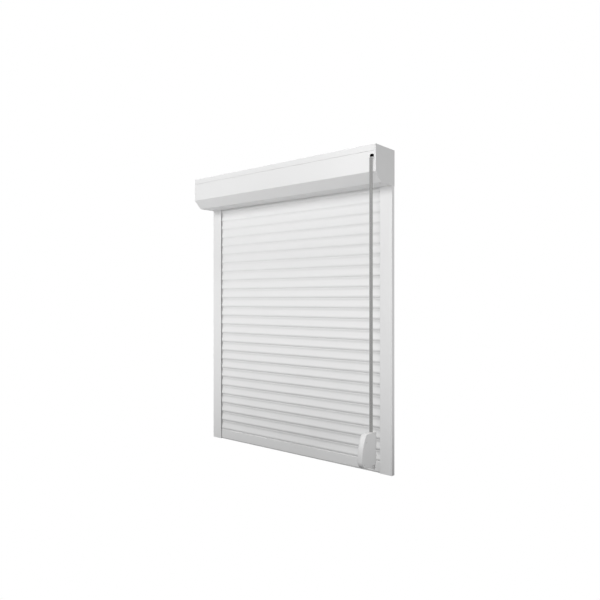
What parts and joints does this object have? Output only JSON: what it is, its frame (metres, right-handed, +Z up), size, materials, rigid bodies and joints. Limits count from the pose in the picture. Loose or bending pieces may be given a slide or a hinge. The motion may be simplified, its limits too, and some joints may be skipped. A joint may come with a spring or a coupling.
{
  "type": "exterior roller shutter",
  "caption": "Front-mounted exterior roller shutter: bevelled box, guide rails, slatted curtain with bottom bar, and a strap running from the box down to a spring winder.",
  "frame": {"origin": "centre of the four wall screws, on the wall plane", "axes": "+X to the right seen from outside, +Y into the wall, +Z up"},
  "size_m": [1, 0.2135, 1.229],
  "materials": {
    "box_coat": "white powder coat, satin",
    "cap_coat": "white powder coat on die-cast aluminium, satin",
    "rail_coat": "white powder coat on extruded aluminium, satin",
    "slat_coat": "white coil coat on roll-formed aluminium, satin",
    "bar_coat": "white powder coat on extruded aluminium, satin",
    "zinc_screw": "zinc plated",
    "steel": "galvanised",
    "spring_steel": "blued spring steel",
    "black_plastic": "moulded, matt",
    "grey_plastic": "moulded, matt",
    "dark_rubber": "extruded, matt",
    "pale_rubber": "extruded, matt",
    "strap_webbing": "woven grey webbing",
    "white_plastic": "moulded, satin",
    "roller_plastic": "moulded, smooth"
  },
  "bodies": {
    "frame": {"box_back_panel": "box_coat", "box_top_panel": "box_coat", "box_front_panel": "box_coat", "end_cap_left": "cap_coat", "end_cap_right": "cap_coat", "panel_screws": "zinc_screw", "guide_rail_left": "rail_coat", "guide_rail_right": "rail_coat", "rail_strips": "dark_rubber", "rail_inlets": "grey_plastic", "rail_plugs": "white_plastic", "tube_bearings": "steel", "strap_guide": "white_plastic", "roller_pin": "steel", "lift_strap": "strap_webbing", "winder_case": "white_plastic", "winder_cover": "white_plastic", "winder_screws": "zinc_screw", "winder_base_plate": "white_plastic", "winder_axle": "steel"},
    "tube": {"winding_tube": "steel", "tube_plug": "black_plastic", "strap_pulley": "black_plastic", "pulley_strap_coil": "strap_webbing"},
    "roller": {"guide_roller": "roller_plastic"},
    "reel": {"winder_reel": "black_plastic", "winder_spring": "spring_steel", "reel_strap_coil": "strap_webbing"},
    "bottom_bar": {"bottom_bar": "bar_coat", "sill_seal": "pale_rubber", "bar_end_plugs": "grey_plastic", "slat_01": "slat_coat"},
    "slat_02": {"slat_02": "slat_coat"},
    "slat_03": {"slat_03": "slat_coat"},
    "slat_04": {"slat_04": "slat_coat"},
    "slat_05": {"slat_05": "slat_coat"},
    "slat_06": {"slat_06": "slat_coat"},
    "slat_07": {"slat_07": "slat_coat"},
    "slat_08": {"slat_08": "slat_coat"},
    "slat_09": {"slat_09": "slat_coat"},
    "slat_10": {"slat_10": "slat_coat"},
    "slat_11": {"slat_11": "slat_coat"},
    "slat_12": {"slat_12": "slat_coat"},
    "slat_13": {"slat_13": "slat_coat"},
    "slat_14": {"slat_14": "slat_coat"},
    "slat_15": {"slat_15": "slat_coat"},
    "slat_16": {"slat_16": "slat_coat"},
    "slat_17": {"slat_17": "slat_coat"},
    "slat_18": {"slat_18": "slat_coat"},
    "slat_19": {"slat_19": "slat_coat"},
    "slat_20": {"slat_20": "slat_coat"},
    "slat_21": {"slat_21": "slat_coat"},
    "slat_22": {"slat_22": "slat_coat"},
    "slat_23": {"slat_23": "slat_coat"},
    "slat_24": {"slat_24": "slat_coat"},
    "slat_25": {"slat_25": "slat_coat"},
    "slat_26": {"slat_26": "slat_coat", "curtain_hangers": "spring_steel"}
  },
  "joints": [
    {"name": "curtain_lift", "type": "slide", "parent": "frame", "child": "bottom_bar", "axis": [0, 0, 1], "range_m": [0, 1.025], "deforming": ["slat_02", "slat_03", "slat_04", "slat_05", "slat_06", "slat_07", "slat_08", "slat_09", "slat_10", "slat_11", "slat_12", "slat_13", "slat_14", "slat_15", "slat_16", "slat_17", "slat_18", "slat_19", "slat_20", "slat_21", "slat_22", "slat_23", "slat_24", "slat_25", "slat_26", "curtain_hangers"]},
    {"name": "tube_spin", "type": "hinge", "parent": "frame", "child": "tube", "pos_m": [0, -0.066, 0.614], "axis": [1, 0, 0], "range_deg": [0, 1441]},
    {"name": "roller_spin", "type": "hinge", "parent": "frame", "child": "roller", "pos_m": [0.483, -0.122, 0.63246], "axis": [1, 0, 0], "range_deg": [0, 9679]},
    {"name": "reel_spin", "type": "hinge", "parent": "frame", "child": "reel", "pos_m": [0.483, -0.1635, -0.4265], "axis": [1, 0, 0], "range_deg": [-1801, 0]},
    {"name": "slat_02_lift", "type": "slide", "parent": "frame", "child": "slat_02", "axis": [0, 0, 1], "range_m": [0, 1.0248]},
    {"name": "slat_03_lift", "type": "slide", "parent": "frame", "child": "slat_03", "axis": [0, 0, 1], "range_m": [0, 0.98454]},
    {"name": "slat_04_lift", "type": "slide", "parent": "frame", "child": "slat_04", "axis": [0, 0, 1], "range_m": [0, 0.94428]},
    {"name": "slat_05_lift", "type": "slide", "parent": "frame", "child": "slat_05", "axis": [0, 0, 1], "range_m": [0, 0.90403]},
    {"name": "slat_06_lift", "type": "slide", "parent": "frame", "child": "slat_06", "axis": [0, 0, 1], "range_m": [0, 0.86376]},
    {"name": "slat_07_lift", "type": "slide", "parent": "frame", "child": "slat_07", "axis": [0, 0, 1], "range_m": [0, 0.82351]},
    {"name": "slat_08_lift", "type": "slide", "parent": "frame", "child": "slat_08", "axis": [0, 0, 1], "range_m": [0, 0.78325]},
    {"name": "slat_09_lift", "type": "slide", "parent": "frame", "child": "slat_09", "axis": [0, 0, 1], "range_m": [0, 0.74299]},
    {"name": "slat_10_lift", "type": "slide", "parent": "frame", "child": "slat_10", "axis": [0, 0, 1], "range_m": [0, 0.70274]},
    {"name": "slat_11_lift", "type": "slide", "parent": "frame", "child": "slat_11", "axis": [0, 0, 1], "range_m": [0, 0.66248]},
    {"name": "slat_12_lift", "type": "slide", "parent": "frame", "child": "slat_12", "axis": [0, 0, 1], "range_m": [0, 0.62221]},
    {"name": "slat_13_lift", "type": "slide", "parent": "frame", "child": "slat_13", "axis": [0, 0, 1], "range_m": [0, 0.58196]},
    {"name": "slat_14_lift", "type": "slide", "parent": "frame", "child": "slat_14", "axis": [0, 0, 1], "range_m": [0, 0.5417]},
    {"name": "slat_15_lift", "type": "slide", "parent": "frame", "child": "slat_15", "axis": [0, 0, 1], "range_m": [0, 0.50144]},
    {"name": "slat_16_lift", "type": "slide", "parent": "frame", "child": "slat_16", "axis": [0, 0, 1], "range_m": [0, 0.46119]},
    {"name": "slat_17_lift", "type": "slide", "parent": "frame", "child": "slat_17", "axis": [0, 0, 1], "range_m": [0, 0.42092]},
    {"name": "slat_18_lift", "type": "slide", "parent": "frame", "child": "slat_18", "axis": [0, 0, 1], "range_m": [0, 0.38066]},
    {"name": "slat_19_lift", "type": "slide", "parent": "frame", "child": "slat_19", "axis": [0, 0, 1], "range_m": [0, 0.34041]},
    {"name": "slat_20_lift", "type": "slide", "parent": "frame", "child": "slat_20", "axis": [0, 0, 1], "range_m": [0, 0.30015]},
    {"name": "slat_21_lift", "type": "slide", "parent": "frame", "child": "slat_21", "axis": [0, 0, 1], "range_m": [0, 0.26169]},
    {"name": "slat_22_lift", "type": "slide", "parent": "frame", "child": "slat_22", "axis": [0, 0, 1], "range_m": [0, 0.22323]},
    {"name": "slat_23_lift", "type": "slide", "parent": "frame", "child": "slat_23", "axis": [0, 0, 1], "range_m": [0, 0.18477]},
    {"name": "slat_24_lift", "type": "slide", "parent": "frame", "child": "slat_24", "axis": [0, 0, 1], "range_m": [0, 0.14632]},
    {"name": "slat_25_lift", "type": "slide", "parent": "frame", "child": "slat_25", "axis": [0, 0, 1], "range_m": [0, 0.10786]},
    {"name": "slat_26_lift", "type": "slide", "parent": "frame", "child": "slat_26", "axis": [0, 0, 1], "range_m": [0, 0.0694]}
  ],
  "couplings": [
    {"joint": "tube_spin", "follows": "curtain_lift", "rad_per_m": 24.52},
    {"joint": "roller_spin", "follows": "curtain_lift", "rad_per_m": 164.77},
    {"joint": "reel_spin", "follows": "curtain_lift", "rad_per_m": -30.65},
    {"joint": "slat_02_lift", "follows": "curtain_lift", "ratio": 0.99971},
    {"joint": "slat_03_lift", "follows": "curtain_lift", "ratio": 0.96043},
    {"joint": "slat_04_lift", "follows": "curtain_lift", "ratio": 0.92115},
    {"joint": "slat_05_lift", "follows": "curtain_lift", "ratio": 0.88188},
    {"joint": "slat_06_lift", "follows": "curtain_lift", "ratio": 0.8426},
    {"joint": "slat_07_lift", "follows": "curtain_lift", "ratio": 0.80333},
    {"joint": "slat_08_lift", "follows": "curtain_lift", "ratio": 0.76405},
    {"joint": "slat_09_lift", "follows": "curtain_lift", "ratio": 0.72477},
    {"joint": "slat_10_lift", "follows": "curtain_lift", "ratio": 0.6855},
    {"joint": "slat_11_lift", "follows": "curtain_lift", "ratio": 0.64622},
    {"joint": "slat_12_lift", "follows": "curtain_lift", "ratio": 0.60694},
    {"joint": "slat_13_lift", "follows": "curtain_lift", "ratio": 0.56767},
    {"joint": "slat_14_lift", "follows": "curtain_lift", "ratio": 0.52839},
    {"joint": "slat_15_lift", "follows": "curtain_lift", "ratio": 0.48911},
    {"joint": "slat_16_lift", "follows": "curtain_lift", "ratio": 0.44984},
    {"joint": "slat_17_lift", "follows": "curtain_lift", "ratio": 0.41056},
    {"joint": "slat_18_lift", "follows": "curtain_lift", "ratio": 0.37128},
    {"joint": "slat_19_lift", "follows": "curtain_lift", "ratio": 0.33201},
    {"joint": "slat_20_lift", "follows": "curtain_lift", "ratio": 0.29273},
    {"joint": "slat_21_lift", "follows": "curtain_lift", "ratio": 0.25521},
    {"joint": "slat_22_lift", "follows": "curtain_lift", "ratio": 0.21769},
    {"joint": "slat_23_lift", "follows": "curtain_lift", "ratio": 0.18017},
    {"joint": "slat_24_lift", "follows": "curtain_lift", "ratio": 0.14265},
    {"joint": "slat_25_lift", "follows": "curtain_lift", "ratio": 0.10513},
    {"joint": "slat_26_lift", "follows": "curtain_lift", "ratio": 0.06761}
  ]
}
